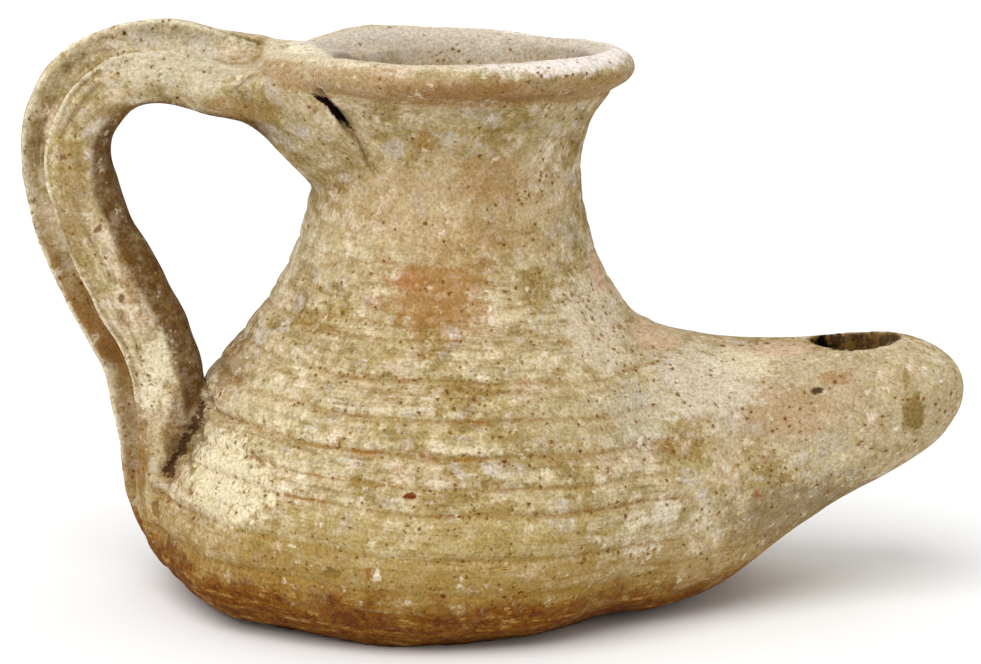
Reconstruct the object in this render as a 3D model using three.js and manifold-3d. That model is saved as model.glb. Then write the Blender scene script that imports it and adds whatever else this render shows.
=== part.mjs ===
// A small wheel-thrown oil lamp of fired clay: a squat hollow body with a flat base, a wide flaring
// mouth, a plump closed nozzle with a wick hole in its top, and a grooved strap handle. It was
// luted together while wet and fired as one piece, so it is one solid with a hollow inside.
// Millimetres. The origin is the foot of the wheel axis, on the flat base. +Z is up, and the
// nozzle points along +X.
import * as THREE from "three";
import { mergeVertices } from "three/addons/utils/BufferGeometryUtils.js";
import Module from "manifold-3d";

const wasm = await Module();
wasm.setup();

// Driving dimensions
const lipTop = 75.6;
const lipRadius = 25.6;
const mouthRadius = 19.2;
const neckRadius = 18.5;
const neckHeight = 60.5;
const bellyRadius = 38.7;
const bellyHeight = 15;
const baseRadius = 27.6;
const baseShift = -4.1; // the base was pushed this far towards the handle
const baseShiftHeight = 20;
const wall = 3.8;
const floorThickness = 5;
const nozzleRoot = 14;
const nozzleTip = 71.7;
const nozzleTop = 35;
const wickHole = { x: 56.6, length: 13, width: 10.4 };
const ribRadius = 4.2;
const strapHalfWidth = 8.5;
const strapGroove = 2;
const lipRise = { height: 1.1, x: -12, y: 18, reach: 9 }; // lifted behind the handle's root

const bodySides = 52;
const cavitySides = 36;

const smooth = (low, high, value) => THREE.MathUtils.smoothstep(value, low, high);

// A smooth curve through a few stations [t, a, b, ...], read as a function of t.
function stations(rows) {
  const last = rows.length - 1;
  return (t) => {
    let i = 0;
    while (i < last - 1 && t > rows[i + 1][0]) i += 1;
    const at = (k) => rows[Math.min(last, Math.max(0, k))];
    const [p0, p1, p2, p3] = [at(i - 1), at(i), at(i + 1), at(i + 2)];
    const span = p2[0] - p1[0];
    const u = THREE.MathUtils.clamp((t - p1[0]) / span, 0, 1);
    return p1.slice(1).map((value, k) => {
      const next = p2[k + 1];
      const slopeIn = p2[0] > p0[0] ? (next - p0[k + 1]) / (p2[0] - p0[0]) : 0;
      const slopeOut = p3[0] > p1[0] ? (p3[k + 1] - value) / (p3[0] - p1[0]) : 0;
      const [u2, u3] = [u * u, u * u * u];
      return (
        value * (2 * u3 - 3 * u2 + 1) +
        slopeIn * span * (u3 - 2 * u2 + u) +
        next * (3 * u2 - 2 * u3) +
        slopeOut * span * (u3 - u2)
      );
    });
  };
}

// A closed tube with flat ends: place(angle, t) gives the point at an angle round it and t along it.
function tube(sides, steps, place) {
  const geometry = new THREE.CylinderGeometry(1, 1, 1, sides, steps);
  const position = geometry.getAttribute("position");
  for (let i = 0; i < position.count; i += 1) {
    const t = 0.5 - position.getY(i);
    const angle = Math.atan2(position.getX(i), position.getZ(i));
    const point = place(angle, t);
    const capCentre = Math.hypot(position.getX(i), position.getZ(i)) < 0.5;
    if (capCentre) point.add(place(angle + Math.PI, t)).multiplyScalar(0.5);
    position.setXYZ(i, point.x, point.y, point.z);
  }
  return geometry;
}

// A geometry as a manifold-3d solid, with its shared vertices merged.
function solid(geometry) {
  const bare = new THREE.BufferGeometry();
  bare.setAttribute("position", geometry.getAttribute("position"));
  bare.setIndex(geometry.getIndex());
  const merged = mergeVertices(bare, 1e-4);
  return new wasm.Manifold(
    new wasm.Mesh({
      numProp: 3,
      vertProperties: new Float32Array(merged.getAttribute("position").array),
      triVerts: new Uint32Array(merged.getIndex().array),
    }),
  );
}

// Profiles are turned about Y by LatheGeometry, so they are stood up along +Z.
function turned(points, sides) {
  const geometry = new THREE.LatheGeometry(points, sides);
  geometry.rotateX(Math.PI / 2);
  return geometry;
}

// The outer wall of body, neck and lip, from the middle of the base up to the mouth's edge.
function bodyProfile() {
  const side = new THREE.SplineCurve([
    new THREE.Vector2(baseRadius, 0),
    new THREE.Vector2(31.4, 1.5),
    new THREE.Vector2(35.2, 4.4),
    new THREE.Vector2(37.8, 9),
    new THREE.Vector2(bellyRadius, bellyHeight),
    new THREE.Vector2(37, 22),
    new THREE.Vector2(32.2, 30.5),
    new THREE.Vector2(26.8, 38),
    new THREE.Vector2(22.6, 45),
    new THREE.Vector2(19.6, 53),
    new THREE.Vector2(neckRadius, neckHeight),
    new THREE.Vector2(19.8, 65.8),
    new THREE.Vector2(23.2, 69.8),
  ]);
  const lip = new THREE.Path();
  lip.moveTo(23.2, 69.8);
  lip.quadraticCurveTo(lipRadius, 71.4, lipRadius, 72.9);
  lip.quadraticCurveTo(lipRadius - 0.4, lipTop, lipRadius - 3.4, lipTop);
  lip.quadraticCurveTo(mouthRadius, lipTop - 0.2, mouthRadius, lipTop - 2.4);
  return [
    new THREE.Vector2(0, 0),
    ...side.getSpacedPoints(23),
    ...lip.getPoints(3).slice(1),
    new THREE.Vector2(0, lipTop - 2.4),
  ];
}

// The hollow of body, neck and mouth, which runs on above the lip so that it cuts the mouth open.
function cavityProfile() {
  const side = new THREE.SplineCurve([
    new THREE.Vector2(baseRadius - 3.5, floorThickness),
    new THREE.Vector2(32.4, 9.6),
    new THREE.Vector2(bellyRadius - wall, bellyHeight + 1),
    new THREE.Vector2(32.2, 23),
    new THREE.Vector2(27.4, 31),
    new THREE.Vector2(22.6, 38.5),
    new THREE.Vector2(18.6, 45.5),
    new THREE.Vector2(15.8, 53),
    new THREE.Vector2(neckRadius - wall, neckHeight),
    new THREE.Vector2(15.6, 66),
    new THREE.Vector2(18, 70.8),
    new THREE.Vector2(mouthRadius, lipTop - 2.4),
  ]);
  return [
    new THREE.Vector2(0, floorThickness),
    ...side.getSpacedPoints(16),
    new THREE.Vector2(mouthRadius, lipTop + 8),
    new THREE.Vector2(0, lipTop + 8),
  ];
}

// A point of an oval section across X: its upper half may taper, its lower half may be boxier.
function ovalPoint(angle, x, { top, bottom, halfWidth, squareness = 2.2, taper = 0 }) {
  const power = 2 / (Math.cos(angle) > 0 ? 2.2 : squareness);
  const across = Math.sign(Math.sin(angle)) * Math.abs(Math.sin(angle)) ** power;
  const upward = Math.sign(Math.cos(angle)) * Math.abs(Math.cos(angle)) ** power;
  return new THREE.Vector3(
    x,
    halfWidth * across * (1 - taper * Math.max(0, upward)),
    (top + bottom) / 2 + ((top - bottom) / 2) * upward,
  );
}

// How far a blunt end has closed at s, from 0 where the rounding starts to 1 at the tip.
const rounded = (s) => Math.sqrt(Math.max(0, 1 - s * s));

// The nozzle: a flared root on the body's shoulder, then a plump beak with a blunt round tip.
function nozzleOutside() {
  const form = stations([
    // x, top, bottom, half width, squareness of the lower half, taper
    [nozzleRoot, 45, 3.4, 28, 2.2, 0.5],
    [20, 41.8, 1.2, 28.4, 3, 0.46],
    [26, 38.6, 0.5, 26.2, 3.8, 0.36],
    [32, 36.2, 0.8, 22.2, 3.8, 0.24],
    [40, 34.9, 2.6, 17.6, 3, 0.12],
    [50, nozzleTop, 9.4, 14.4, 2.4, 0.04],
    [57, 35.6, 14, 13.2, 2.2, 0],
    [63, 35.8, 17.4, 11.8, 2.2, 0],
    [nozzleTip, 34.4, 21.2, 10.4, 2.2, 0],
  ]);
  const roundFrom = 60;
  const tipHeight = 28;
  return tube(28, 24, (angle, t) => {
    const run = 1 - (1 - t) ** 1.6;
    const x = nozzleRoot + (nozzleTip - nozzleRoot) * run;
    const [top, bottom, halfWidth, squareness, taper] = form(x);
    const keep = Math.max(rounded(Math.max(0, (x - roundFrom) / (nozzleTip - roundFrom))), 0.12);
    const middle = THREE.MathUtils.lerp(tipHeight, (top + bottom) / 2, keep);
    const half = ((top - bottom) / 2) * keep ** 0.8;
    return ovalPoint(angle, x, {
      top: middle + half,
      bottom: middle - half,
      halfWidth: halfWidth * keep ** 0.7,
      squareness,
      taper,
    });
  });
}

// The channel that leads the oil from the body to the wick.
function nozzleInside() {
  const form = stations([
    // x, top, bottom, half width
    [20, 30, 9, 20],
    [30, 30.4, 8, 16.4],
    [40, 30.6, 9.6, 12.8],
    [50, 30.8, 14.4, 10.4],
    [58, 31, 18.6, 8.6],
    [66.5, 30, 23, 5.2],
  ]);
  return tube(24, 10, (angle, t) => {
    const x = THREE.MathUtils.lerp(20, 66.5, t);
    const [top, bottom, halfWidth] = form(x);
    return ovalPoint(angle, x, { top, bottom, halfWidth });
  });
}

// The wick hole opens a little wider at the top of the nozzle's wall.
function wickCut() {
  const lowest = 26;
  const highest = nozzleTop + 6;
  return tube(28, 4, (angle, t) => {
    const z = THREE.MathUtils.lerp(highest, lowest, t);
    const flare = 1 + 0.12 * smooth(nozzleTop - 5, nozzleTop + 2, z);
    return new THREE.Vector3(
      wickHole.x - (wickHole.length / 2) * flare * Math.sin(angle),
      (wickHole.width / 2) * flare * Math.cos(angle),
      z,
    );
  });
}

// The strap's middle line, from inside the lip, over the bend and down to the belly.
const strapLine = new THREE.CatmullRomCurve3(
  [
    [-17.5, 0, 70.8],
    [-24, 0, 70.8],
    [-31, 0, 71.8],
    [-38.5, 0, 73.6],
    [-46, 0, 72.2],
    [-51, 0, 67],
    [-52.2, 0, 60],
    [-50.4, 0, 51.5],
    [-46.3, 0, 42.6],
    [-42.1, 0, 34],
    [-40.1, 0, 25.6],
    [-39.2, 0, 17.4],
    [-37.4, 0, 10.4],
    [-33.6, 0, 5.4],
  ].map((p) => new THREE.Vector3(...p)),
  false,
  "centripetal",
);

// The handle: a strap with two ribs and a groove between them on its outer face.
function strap() {
  const form = stations([
    // t, half width, rib radius, groove, deeper underside, twist in degrees
    [0, 12.6, 4.6, 0, 7.4, 4],
    [0.05, 11.6, 4.4, 0, 1.6, 10],
    [0.1, 9.8, 4.1, 0.6, 0, 17],
    [0.22, strapHalfWidth, 4.1, strapGroove, 0, 22],
    [0.42, strapHalfWidth, ribRadius, strapGroove, 0, 35],
    [0.7, 8.8, 4.5, strapGroove, 0, 35],
    [0.84, 9, 4.5, strapGroove, 0, 24],
    [1, 9.4, 3.8, 0.4, 0, 8],
  ]);
  const flatShare = 0.4; // the share of the section's sides that lies between the two ribs
  const side = new THREE.Vector3(0, 1, 0);
  return tube(28, 36, (angle, t) => {
    const [halfWidth, radius, groove, deeper, twist] = form(t);
    const across = -Math.sin(angle);
    const flat = THREE.MathUtils.clamp(across / flatShare, -1, 1);
    const round = Math.max(0, (Math.abs(across) - flatShare) / (1 - flatShare));
    const bow = Math.sqrt(1 - round * round);
    const outer = Math.cos(angle) > 0;
    const w = (halfWidth - radius) * flat + radius * round * Math.sign(across);
    const h = outer ? radius * bow - groove * (1 - flat * flat) ** 2 : -(radius + deeper) * bow;
    const along = strapLine.getTangentAt(t);
    const turn = -THREE.MathUtils.degToRad(twist);
    const wide = side.clone().applyAxisAngle(along, turn);
    const up = new THREE.Vector3().crossVectors(side, along).applyAxisAngle(along, turn);
    return strapLine.getPointAt(t).addScaledVector(wide, w).addScaledVector(up, h);
  });
}

// What the hands did after throwing: the base pushed over, and the lip lifted behind the handle.
function handled(geometry) {
  const position = geometry.getAttribute("position");
  for (let i = 0; i < position.count; i += 1) {
    const [x, y, z] = [position.getX(i), position.getY(i), position.getZ(i)];
    const low = Math.max(0, 1 - z / baseShiftHeight);
    const fromRise = Math.hypot(x - lipRise.x, y - lipRise.y) / lipRise.reach;
    const rise = lipRise.height * Math.exp(-(fromRise ** 2)) * smooth(66, lipTop, z);
    position.setX(i, x + baseShift * low);
    position.setZ(i, z + rise);
  }
  return geometry;
}

function geometryOf(made) {
  const mesh = made.getMesh();
  const geometry = new THREE.BufferGeometry();
  const position = new THREE.BufferAttribute(new Float32Array(mesh.vertProperties), 3);
  geometry.setAttribute("position", position);
  geometry.setIndex(new THREE.BufferAttribute(new Uint32Array(mesh.triVerts), 1));
  return geometry;
}

const outside = solid(turned(bodyProfile(), bodySides))
  .add(solid(nozzleOutside()))
  .add(solid(strap()));
const inside = solid(turned(cavityProfile(), cavitySides))
  .add(solid(nozzleInside()))
  .add(solid(wickCut()));

const lampGeometry = handled(geometryOf(outside.subtract(inside)));
lampGeometry.computeVertexNormals();

const firedClay = new THREE.MeshStandardMaterial({
  color: new THREE.Color(0.53, 0.45, 0.31),
  roughness: 0.88,
  metalness: 0,
  flatShading: true,
});

const lamp = new THREE.Group();
const body = new THREE.Mesh(lampGeometry, firedClay);
body.name = "oil_lamp";
lamp.add(body);

export default lamp;
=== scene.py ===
import bpy
import math
import numpy as np
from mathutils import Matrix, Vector


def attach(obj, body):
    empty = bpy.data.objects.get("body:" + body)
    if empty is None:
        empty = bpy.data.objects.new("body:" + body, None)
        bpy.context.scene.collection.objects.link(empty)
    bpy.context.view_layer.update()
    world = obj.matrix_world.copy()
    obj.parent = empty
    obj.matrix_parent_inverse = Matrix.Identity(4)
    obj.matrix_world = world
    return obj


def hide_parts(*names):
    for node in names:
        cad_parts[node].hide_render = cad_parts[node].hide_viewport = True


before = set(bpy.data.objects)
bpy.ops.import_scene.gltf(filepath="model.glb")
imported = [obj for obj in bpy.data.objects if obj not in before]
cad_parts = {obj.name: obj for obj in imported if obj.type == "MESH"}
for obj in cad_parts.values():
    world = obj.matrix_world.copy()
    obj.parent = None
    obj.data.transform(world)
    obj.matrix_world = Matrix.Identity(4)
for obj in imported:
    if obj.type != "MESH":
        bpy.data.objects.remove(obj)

# A small wheel-thrown oil lamp of buff clay. It is modelled in millimetres, in the same frame as
# the CAD lamp, and brought to metres when it is whole. Z is up and the nozzle points along X.

bpy.context.view_layer.update()
metresPerMm = 0.001


# Helpers for modelling

def clearSelection():
    if bpy.context.object and bpy.context.object.mode != "OBJECT":
        bpy.ops.object.mode_set(mode="OBJECT")
    bpy.ops.object.select_all(action="DESELECT")


def pick(piece):
    clearSelection()
    piece.select_set(True)
    bpy.context.view_layer.objects.active = piece


def applyModifier(piece, kind, **settings):
    pick(piece)
    modifier = piece.modifiers.new(kind.lower(), kind)
    for name, value in settings.items():
        setattr(modifier, name, value)
    bpy.ops.object.modifier_apply(modifier=modifier.name)


def joinPieces(name, pieces):
    clearSelection()
    for piece in pieces:
        piece.select_set(True)
    bpy.context.view_layer.objects.active = pieces[0]
    bpy.ops.object.join()
    pieces[0].name = name
    return pieces[0]


def editAll():
    bpy.ops.object.mode_set(mode="EDIT")
    bpy.ops.mesh.select_all(action="SELECT")


# From edit mode: turns every face outwards and goes back to object mode.
def faceOutwards():
    bpy.ops.mesh.select_all(action="SELECT")
    bpy.ops.mesh.normals_make_consistent(inside=False)
    bpy.ops.object.mode_set(mode="OBJECT")


def bakePlace():
    bpy.ops.object.transform_apply(location=True, rotation=True, scale=True)


def readPoints(piece):
    points = np.empty(len(piece.data.vertices) * 3)
    piece.data.vertices.foreach_get("co", points)
    return points.reshape(-1, 3)


def writePoints(piece, points):
    piece.data.vertices.foreach_set("co", points.ravel())
    piece.data.update()


def readNormals(piece):
    normals = np.empty(len(piece.data.vertices) * 3)
    piece.data.vertex_normals.foreach_get("vector", normals)
    return normals.reshape(-1, 3)


def smoothStep(low, high, value):
    t = np.clip((value - low) / (high - low), 0, 1)
    return t * t * (3 - 2 * t)


# Evenly spaced points on a smooth curve through the given ones.
def smoothLine(points, count, closed=False):
    given = np.array(points, float)
    if closed:
        given = np.vstack([given[-1], given, given[0], given[1]])
    else:
        given = np.vstack([2 * given[0] - given[1], given, 2 * given[-1] - given[-2]])
    dense = []
    for a, b, c, d in zip(given, given[1:], given[2:], given[3:]):
        for t in np.linspace(0, 1, 24, endpoint=False):
            curve = 2 * b + (c - a) * t + (2 * a - 5 * b + 4 * c - d) * t ** 2
            dense.append((curve + (3 * b - a - 3 * c + d) * t ** 3) / 2)
    dense.append(given[-2])
    dense = np.array(dense)
    run = np.r_[0, np.cumsum(np.linalg.norm(np.diff(dense, axis=0), axis=1))]
    even = np.linspace(0, run[-1], count, endpoint=not closed)
    return np.column_stack([np.interp(even, run, axis) for axis in dense.T])


# A smooth function through rows of [place, a, b, ...], read at any places.
def smoothRows(rows, places):
    rows = np.array(rows, float)
    line = smoothLine(rows, 400)
    return [np.interp(places, line[:, 0], column) for column in line.T[1:]]


# Soft noise from -1 to 1, with lumps of about the given size in mm (one size, or one for each axis).
def cloud(points, size, seed):
    q = points / np.array(size, float) + seed * 7.31
    cell = np.floor(q).astype(np.int64)
    f = q - cell
    f = f * f * f * (f * (f * 6 - 15) + 10)
    total = np.zeros(len(q))
    for corner in np.ndindex(2, 2, 2):
        c = cell + np.array(corner)
        mixed = (c[:, 0] * 73856093) ^ (c[:, 1] * 19349663) ^ (c[:, 2] * 83492791) ^ (seed * 15485863)
        mixed = (mixed ^ (mixed >> 13)) * 1274126177
        value = ((mixed ^ (mixed >> 16)) & 0xFFFFFF) / 0xFFFFFF * 2 - 1
        total += value * np.prod(np.where(corner, f, 1 - f), axis=1)
    return total


# Throwing: a profile is drawn point by point, then spun round the wheel's axis.
def throwOnWheel(name, profile, sides):
    clearSelection()
    bpy.ops.mesh.primitive_plane_add(size=1)
    piece = bpy.context.object
    piece.name = name
    editAll()
    bpy.ops.mesh.merge(type="CENTER")
    bpy.ops.transform.translate(value=(profile[0][0], 0, profile[0][1]))
    for (r0, z0), (r1, z1) in zip(profile, profile[1:]):
        bpy.ops.mesh.extrude_region_move(TRANSFORM_OT_translate={"value": (r1 - r0, 0, z1 - z0)})
    bpy.ops.mesh.select_all(action="SELECT")
    bpy.ops.mesh.spin(steps=sides, angle=math.tau, center=(0, 0, 0), axis=(0, 0, 1))
    bpy.ops.mesh.select_all(action="SELECT")
    bpy.ops.mesh.remove_doubles(threshold=0.01)
    faceOutwards()
    return piece


# Pulling: a round is drawn out along X from ring to ring. A ring is (x, z, half width, half height).
def pullAlongX(name, rings, sides):
    clearSelection()
    bpy.ops.mesh.primitive_circle_add(vertices=sides, radius=1, fill_type="NGON",
                                      rotation=(0, math.pi / 2, 0))
    piece = bpy.context.object
    piece.name = name
    bakePlace()
    editAll()
    x, z, width, height = rings[0]
    bpy.ops.transform.resize(value=(1, width, height))
    bpy.ops.transform.translate(value=(x, 0, z))
    for (x0, z0, w0, h0), (x1, z1, w1, h1) in zip(rings, rings[1:]):
        bpy.ops.mesh.extrude_region_move(TRANSFORM_OT_translate={"value": (x1 - x0, 0, z1 - z0)})
        bpy.ops.transform.resize(value=(1, w1 / w0, h1 / h0), center_override=(x1, 0, z1))
    faceOutwards()
    return piece


# The thrown body, neck and lip

body = {
    "side": [(28, 0), (31.8, 1.5), (35.4, 4.4), (37.8, 9), (38.6, 15), (36.8, 22), (31.9, 30.5), (26.4, 38),
             (22.2, 45), (19.4, 53), (18.5, 60.5), (19.7, 66), (22.8, 70.4)],
    "lip": [(24.9, 71.9), (25.7, 73.1), (25.6, 74.4), (24.8, 75.3), (23.4, 75.8), (21.6, 75.5), (20.2, 74.7),
            (19.2, 73.2)],
    "hollow": [(24.1, 5), (32.4, 9.6), (34.9, 16), (32.2, 23), (27.4, 31), (22.6, 38.5), (18.6, 45.5),
               (15.8, 53), (14.7, 60.5), (15.6, 66), (18, 70.8), (19.2, 73.2)],
    "floor": 5,
    "lipTop": 75.7,
    "sides": 160,
    "hollowSides": 96,
    "mouthLeft": 0.78,
    "mouthRight": 1.06,
    "baseShift": -4.1,       # the base was pushed over towards the handle
    "baseShiftHeight": 20,
    "flatUnder": 0.25,       # the base is rubbed flat below this height
    # the lip's waves, as x, y, lift and reach: the near rim stands up, the far one sinks here and there
    "lipWaves": [(-12, 18, 0.7, 9), (-22, 13, -0.9, 8), (0, 24, -0.4, 14), (14, 20, -0.35, 10),
                 (24, 4, -0.6, 8), (0, -23, 0.45, 16), (16, -18, 0.4, 9), (-17, -16, 0.5, 8)],
    "lipWavesFrom": 66,
    "mouthFrom": (64, 71),   # the mouth's squeeze grows between these heights
    "clearAbove": 8,         # how far the tools that hollow the lamp stand above the lip
}

outerLine = smoothLine(body["side"] + body["lip"], 150)
bodyProfile = [(0, 0)] + [tuple(p) for p in outerLine] + [(0, body["lip"][-1][1])]
hollowLine = smoothLine(body["hollow"], 70)
aboveLip = body["lipTop"] + body["clearAbove"]
hollowProfile = [(0, body["floor"])] + [tuple(p) for p in hollowLine]
hollowProfile += [(hollowLine[-1][0], aboveLip), (0, aboveLip)]

bodyPiece = throwOnWheel("body", bodyProfile, body["sides"])
hollowPiece = throwOnWheel("hollow", hollowProfile, body["hollowSides"])

# the handle's root narrows the mouth on its side
mouth = readPoints(hollowPiece)
mouthShare = smoothStep(*body["mouthFrom"], mouth[:, 2])
squeeze = np.where(mouth[:, 0] < 0, body["mouthLeft"], body["mouthRight"])
mouth[:, 0] *= 1 + (squeeze - 1) * mouthShare * smoothStep(0, 12, np.abs(mouth[:, 0]))
writePoints(hollowPiece, mouth)


# Clay pressed on at the handle's root: a ledge inside the lip, and on each side a web that fills
# the hollow under the lip, from the handle to the neck
root = {
    "ledgeAt": (-19.5, 0, 72),
    "ledgeRadii": (9.5, 16.5, 3.4),
    "farReach": 0.62,        # how far the far web reaches, as a share of the near one
    # corners of the web on the near side, then points sunk in the clay behind it
    "web": [(-16.8, -19.2, 71.8), (-22, -14, 73.6), (-30.5, -9.8, 71.6), (-28.8, -8, 67.6), (-22.2, -8, 62.2),
            (-18.8, -6, 57.4), (-9.7, -16.1, 61.4), (-12.8, -17.2, 67.2), (-15, -8, 71), (-12, -8, 62),
            (-18, -1, 60), (-26, -1, 68), (-28, -1, 72)],
}


def pressLedge():
    clearSelection()
    bpy.ops.mesh.primitive_uv_sphere_add(segments=48, ring_count=24, radius=1, location=root["ledgeAt"],
                                         scale=root["ledgeRadii"])
    bakePlace()
    return bpy.context.object


def pressWeb(name, side, reach):
    mesh = bpy.data.meshes.new(name)
    start = root["web"][0][0]
    mesh.from_pydata([(start + (x - start) * reach, y * side, z) for x, y, z in root["web"]], [], [])
    piece = bpy.data.objects.new(name, mesh)
    bpy.context.collection.objects.link(piece)
    pick(piece)
    editAll()
    bpy.ops.mesh.convex_hull()
    faceOutwards()
    return piece


rootPieces = [pressLedge(), pressWeb("nearWeb", 1, 1), pressWeb("farWeb", -1, root["farReach"])]
print("body thrown", len(bodyPiece.data.polygons), "faces")


# The nozzle, its channel and the wick hole

nozzle = {
    # x, top, bottom, half width, squareness of the lower half, taper of the upper half
    "outside": [(14, 44, 3.4, 28, 2.2, 0.5), (20, 41.2, 0.8, 29.2, 3, 0.46),
                (26, 38.3, 0.2, 27.2, 3.8, 0.36), (32, 36.1, 0.3, 23.8, 4, 0.24),
                (40, 34.9, 1.8, 19.2, 3.2, 0.12), (50, 35.1, 9, 14.8, 2.4, 0.04),
                (57, 35.9, 13.8, 13.2, 2.2, 0), (63, 36.1, 17.2, 11.8, 2.2, 0),
                (71.7, 35.6, 21.2, 10.4, 2.2, 0)],
    "tip": 71.7,
    "tipHeight": 28.6,
    "roundFrom": 60,
    "rings": 70,
    "sides": 96,
    # x, top, bottom, half width
    "channel": [(20, 30, 9, 20), (30, 30.4, 8, 16.4), (40, 30.6, 9.6, 12.8), (50, 32.4, 14.4, 10.4),
                (56, 33, 17.6, 9), (61, 31.4, 20, 7.4), (66.5, 29.4, 23, 4.8)],
    "wickX": 55.7,
    "wickLength": 10.2,
    "wickWidth": 10.2,
    "wickFloor": 26,
    "wickAbove": 6,          # how far the cut stands above the nozzle's top
    "wickFlareDepth": 4,     # the hole widens over this depth, by these shares along and across
    "wickFlare": 1.2,
    "wickFlareAcross": 1.1,
    "wickFlareShift": 0.8,   # how far the flare moves the hole's middle
}
nozzleTop = nozzle["outside"][5][1]


def nozzleRings():
    start = nozzle["outside"][0][0]
    run = np.linspace(0, 1, nozzle["rings"])
    x = start + (nozzle["tip"] - start) * (1 - (1 - run) ** 1.6)
    top, bottom, width, square, taper = smoothRows(nozzle["outside"], x)
    closed = np.clip((x - nozzle["roundFrom"]) / (nozzle["tip"] - nozzle["roundFrom"]), 0, 1)
    keep = np.maximum(np.sqrt(1 - closed ** 2), 0.12)
    middle = nozzle["tipHeight"] + ((top + bottom) / 2 - nozzle["tipHeight"]) * keep
    return list(zip(x, middle, width * keep ** 0.7, (top - bottom) / 2 * keep ** 0.8)), square, taper


# Each ring is a plain oval so far: its lower half is made boxier and its upper half tapers.
def shapeNozzle(piece, rings, square, taper):
    points = readPoints(piece)
    for (x, z, width, height), boxy, narrow in zip(rings, square, taper):
        ring = np.abs(points[:, 0] - x) < 0.01
        across = points[ring, 1] / width
        upward = (points[ring, 2] - z) / height
        power = 2 / np.where(upward > 0, 2.2, boxy)
        across = np.sign(across) * np.abs(across) ** power
        upward = np.sign(upward) * np.abs(upward) ** power
        points[ring, 1] = width * across * (1 - narrow * np.maximum(0, upward))
        points[ring, 2] = z + height * upward
    writePoints(piece, points)


rings, square, taper = nozzleRings()
nozzlePiece = pullAlongX("nozzle", rings, nozzle["sides"])
shapeNozzle(nozzlePiece, rings, square, taper)

channelX = np.linspace(nozzle["channel"][0][0], nozzle["channel"][-1][0], 24)
channelTop, channelBottom, channelWidth = smoothRows(nozzle["channel"], channelX)
channelMiddle = (channelTop + channelBottom) / 2
channelRings = list(zip(channelX, channelMiddle, channelWidth, (channelTop - channelBottom) / 2))
channelPiece = pullAlongX("channel", channelRings, 48)


def cutWick():
    clearSelection()
    reach = nozzleTop + nozzle["wickAbove"] - nozzle["wickFloor"]
    middle = nozzle["wickFloor"] + reach / 2
    bpy.ops.mesh.primitive_cylinder_add(vertices=64, radius=0.5, depth=reach,
                                        location=(nozzle["wickX"], 0, middle))
    piece = bpy.context.object
    piece.name = "wickCut"
    bpy.ops.transform.resize(value=(nozzle["wickLength"], nozzle["wickWidth"], 1))
    bakePlace()
    editAll()
    bpy.ops.mesh.bisect(plane_co=(0, 0, nozzleTop - nozzle["wickFlareDepth"]), plane_no=(0, 0, 1))
    bpy.ops.object.mode_set(mode="OBJECT")
    for vertex in piece.data.vertices:
        vertex.select = vertex.co.z > nozzleTop
    bpy.ops.object.mode_set(mode="EDIT")
    bpy.ops.mesh.select_mode(type="VERT")
    still = nozzle["wickX"] - 0.4 * nozzle["wickLength"]
    flare = (nozzle["wickFlare"], nozzle["wickFlareAcross"], 1)
    bpy.ops.transform.resize(value=flare, center_override=(still, 0, middle))
    bpy.ops.object.mode_set(mode="OBJECT")
    return piece


wickPiece = cutWick()
print("nozzle pulled", len(nozzlePiece.data.polygons), "faces")


# The strap handle: drawn out straight, then bent along its line

strap = {
    # where the middle of the strap runs, from inside the lip over the bend and down to the belly: x, z
    "line": [(-17.5, 70.8), (-24, 71.2), (-31, 72.1), (-38.5, 73.5), (-45.6, 71.8), (-50.5, 66.8),
             (-51.9, 60), (-50.1, 51.5), (-45.8, 42.6), (-41.6, 34), (-39.8, 25.6), (-38.8, 17.4),
             (-36.9, 10.4), (-33.2, 5.4)],
    # half the section across the strap, outer face up: a rounded rib beside the groove, or none
    "grooved": [(0, 0.9), (1.4, 1.2), (2.7, 2.9), (3.7, 4.75), (5, 4.35), (6.9, 3.3)],
    "plain": [(0, 4.3), (1.4, 4.3), (2.7, 4.3), (3.7, 4.25), (5, 4.0), (6.9, 3.2)],
    "innerFace": [(8.2, 1.6), (8.5, -0.6), (7.9, -2.5), (6.2, -3.8), (3.4, -4.2), (0, -4.2)],
    "halfWidth": 8.5,
    "ribRadius": 4.2,
    "crest": 3.9,            # how far each rib's crest lies from the middle
    "crestHeight": 0.4,      # how far the crest is pinched up, and the clay beside it pressed down
    "crestFrom": (-26, -34),  # the pinching grows between these places along x
    # share of the length, half width, rib radius, groove, deeper underside, twist in degrees
    "form": [(0, 15, 4.6, 0, 6, 4), (0.04, 13.4, 4.4, 0.1, 1.6, 8), (0.1, 10.4, 4.0, 0.6, -0.4, 17),
             (0.22, 8.5, 3.9, 1, -0.5, 22), (0.42, 8.5, 4.2, 1, 0, 35), (0.7, 9, 4.6, 1, 0, 35),
             (0.84, 9, 4.4, 0.9, 0, 24), (1, 9.4, 3.6, 0.2, 0, 8)],
    "sides": 96,
    "rings": 150,
}


def wholeSection(outerFace):
    half = strap[outerFace] + strap["innerFace"]
    left = [(-across, height) for across, height in reversed(half[1:-1])]
    return smoothLine(half + left, strap["sides"], closed=True)


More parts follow.
